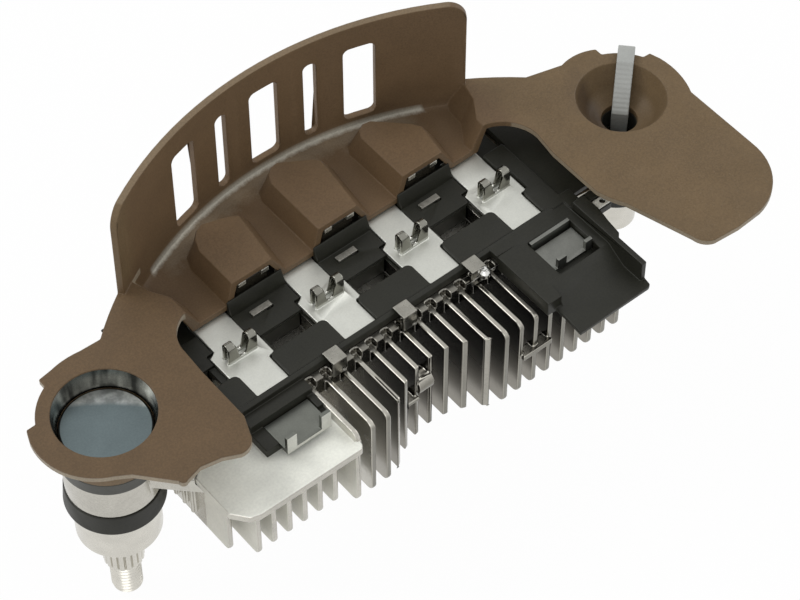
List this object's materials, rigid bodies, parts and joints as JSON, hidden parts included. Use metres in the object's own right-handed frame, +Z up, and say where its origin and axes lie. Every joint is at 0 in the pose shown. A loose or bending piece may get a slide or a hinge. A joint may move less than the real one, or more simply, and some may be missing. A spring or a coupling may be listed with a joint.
{
  "type": "alternator rectifier",
  "caption": "Diode rectifier for a vehicle alternator: curved slotted negative plate over a finned positive sink, with a moulded terminal frame, forked phase terminals and an insulated output stud.",
  "frame": {"origin": "on the output stud axis where its thread starts", "axes": "+X along the row of terminals, +Y towards the slotted wall, +Z up from the stud end to the plate"},
  "size_m": [0.1463, 0.0721, 0.0772],
  "materials": {
    "coated_plate": "fine speckled brown coat",
    "cast_sink": "satin cast",
    "frame_plastic": "black moulding, faint sheen",
    "tinned_metal": "tin plated, satin",
    "plated_metal": "plated, bright edges",
    "diode_body": "dark potting compound",
    "contact_metal": "grey, satin",
    "stud_metal": "bright plated",
    "spacer_metal": "satin",
    "insulator_plastic": "dark grey green moulding",
    "strap_plastic": "pale grey nylon"
  },
  "bodies": {
    "root": {"ear_lower_insulator": "insulator_plastic", "ear_sleeve": "spacer_metal", "ear_upper_insulator": "insulator_plastic", "frame_clip_1": "plated_metal", "frame_clip_2": "plated_metal", "frame_clip_3": "plated_metal", "left_contact_plate": "contact_metal", "negative_diode_1": "diode_body", "negative_diode_2": "diode_body", "negative_diode_3": "diode_body", "negative_diode_4": "diode_body", "negative_diode_base_1": "plated_metal", "negative_diode_base_2": "plated_metal", "negative_diode_base_3": "plated_metal", "negative_diode_base_4": "plated_metal", "negative_heat_sink": "coated_plate", "output_stud": "stud_metal", "phase_terminal_1": "tinned_metal", "phase_terminal_2": "tinned_metal", "phase_terminal_3": "tinned_metal", "phase_terminal_4": "tinned_metal", "positive_diode_1": "diode_body", "positive_diode_2": "diode_body", "positive_diode_3": "diode_body", "positive_diode_4": "diode_body", "positive_diode_cup_1": "plated_metal", "positive_diode_cup_2": "plated_metal", "positive_diode_cup_3": "plated_metal", "positive_diode_cup_4": "plated_metal", "positive_diode_lead_1": "plated_metal", "positive_diode_lead_2": "plated_metal", "positive_diode_lead_3": "plated_metal", "positive_diode_lead_4": "plated_metal", "positive_heat_sink": "cast_sink", "right_contact_plate": "contact_metal", "right_contact_strip": "tinned_metal", "sense_lug": "tinned_metal", "stud_lower_insulator": "insulator_plastic", "stud_spacer": "spacer_metal", "stud_upper_insulator": "insulator_plastic", "terminal_frame": "frame_plastic", "tie_strap": "strap_plastic"}
  },
  "joints": []
}
